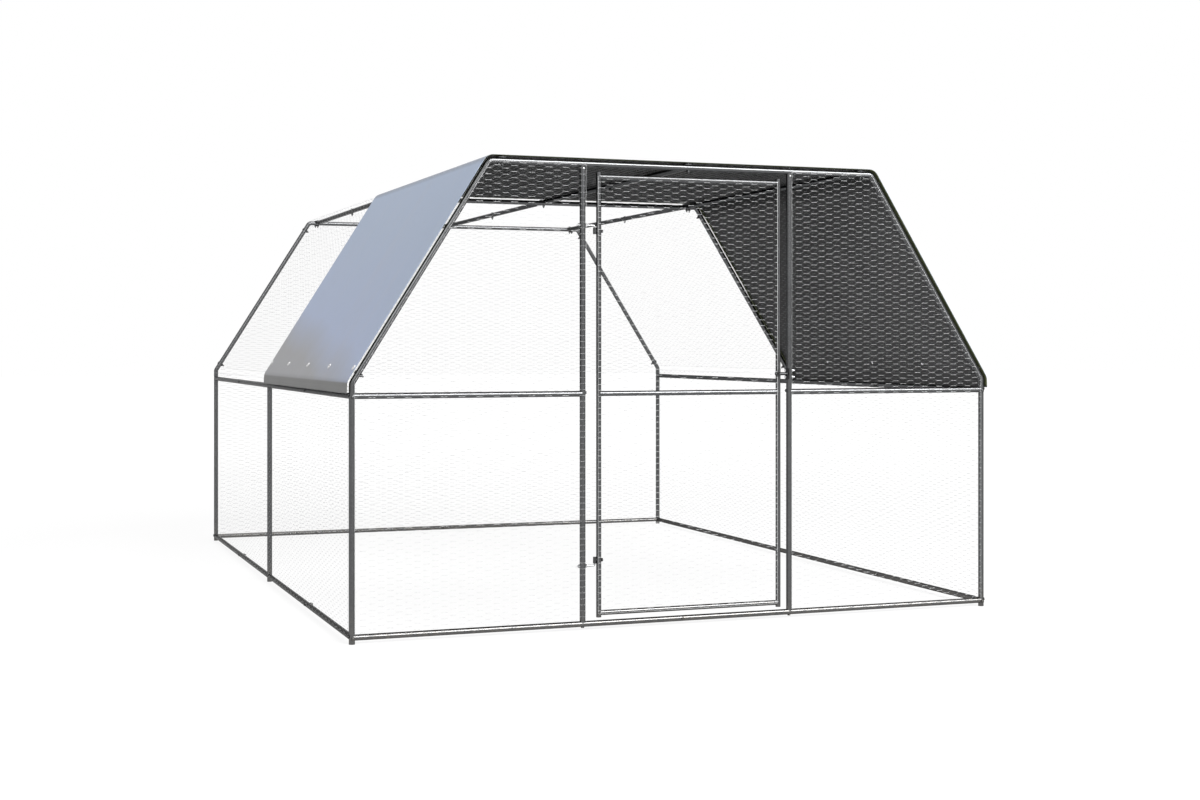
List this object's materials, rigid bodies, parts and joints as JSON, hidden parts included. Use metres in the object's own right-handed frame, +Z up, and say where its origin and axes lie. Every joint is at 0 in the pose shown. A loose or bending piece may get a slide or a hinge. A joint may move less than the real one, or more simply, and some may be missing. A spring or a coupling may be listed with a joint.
{
  "type": "walk-in chicken cage",
  "caption": "Walk-in poultry run: bolted arched tube frame with hexagonal netting, hinged front door with a slide bolt, and a fabric cover over the front bay.",
  "frame": {"origin": "on the ground, at the middle of the plan of the cage", "axes": "+X to the right seen from the front, +Y from the door to the rear, +Z up"},
  "size_m": [3.0236, 4.0408, 2.0168],
  "materials": {
    "galvanised_tube": "galvanised steel tube, satin",
    "zinc_hardware": "bright zinc plated steel",
    "wire_netting": "galvanised wire",
    "cover_fabric": "coated woven sheet, silver grey, slight sheen"
  },
  "bodies": {
    "cage": {"cover_sheet": "cover_fabric", "door_bolts": "zinc_hardware", "door_post_plugs": "galvanised_tube", "frame_bolts": "zinc_hardware", "front_bottom_rail": "galvanised_tube", "front_knee_elbows": "galvanised_tube", "front_left_mid_rail": "galvanised_tube", "front_left_net": "wire_netting", "front_left_post": "galvanised_tube", "front_left_slope": "galvanised_tube", "front_right_mid_rail": "galvanised_tube", "front_right_net": "wire_netting", "front_right_post": "galvanised_tube", "front_right_slope": "galvanised_tube", "front_shoulder_elbows": "galvanised_tube", "front_top_tube": "galvanised_tube", "hinge_pintles": "zinc_hardware", "keeper_plate": "zinc_hardware", "left_bottom_rail_front": "galvanised_tube", "left_bottom_rail_rear": "galvanised_tube", "left_door_post": "galvanised_tube", "left_eave_rail_front": "galvanised_tube", "left_eave_rail_rear": "galvanised_tube", "left_purlin": "galvanised_tube", "left_slope_net": "wire_netting", "left_wall_net": "wire_netting", "middle_knee_elbows": "galvanised_tube", "middle_left_post": "galvanised_tube", "middle_left_slope": "galvanised_tube", "middle_right_post": "galvanised_tube", "middle_right_slope": "galvanised_tube", "middle_shoulder_elbows": "galvanised_tube", "middle_top_tube": "galvanised_tube", "rear_bottom_rail": "galvanised_tube", "rear_knee_elbows": "galvanised_tube", "rear_left_post": "galvanised_tube", "rear_left_slope": "galvanised_tube", "rear_net": "wire_netting", "rear_right_post": "galvanised_tube", "rear_right_slope": "galvanised_tube", "rear_shoulder_elbows": "galvanised_tube", "rear_top_tube": "galvanised_tube", "ridge_purlin": "galvanised_tube", "right_bottom_rail_front": "galvanised_tube", "right_bottom_rail_rear": "galvanised_tube", "right_door_post": "galvanised_tube", "right_eave_rail_front": "galvanised_tube", "right_eave_rail_rear": "galvanised_tube", "right_purlin": "galvanised_tube", "right_slope_net": "wire_netting", "right_wall_net": "wire_netting", "roof_net": "wire_netting"},
    "door": {"hinge_stile": "galvanised_tube", "latch_stile": "galvanised_tube", "door_rails": "galvanised_tube", "hinge_eyes": "zinc_hardware", "door_net": "wire_netting", "latch_guide": "zinc_hardware"},
    "latch": {"latch_rod": "zinc_hardware"}
  },
  "joints": [
    {"name": "door_hinge", "type": "hinge", "parent": "cage", "child": "door", "pos_m": [-0.435, -1.9875, 1], "axis": [0, 0, -1], "range_deg": [0, 110]},
    {"name": "latch_slide", "type": "slide", "parent": "door", "child": "latch", "axis": [1, 0, 0], "range_m": [0, 0.03]}
  ]
}
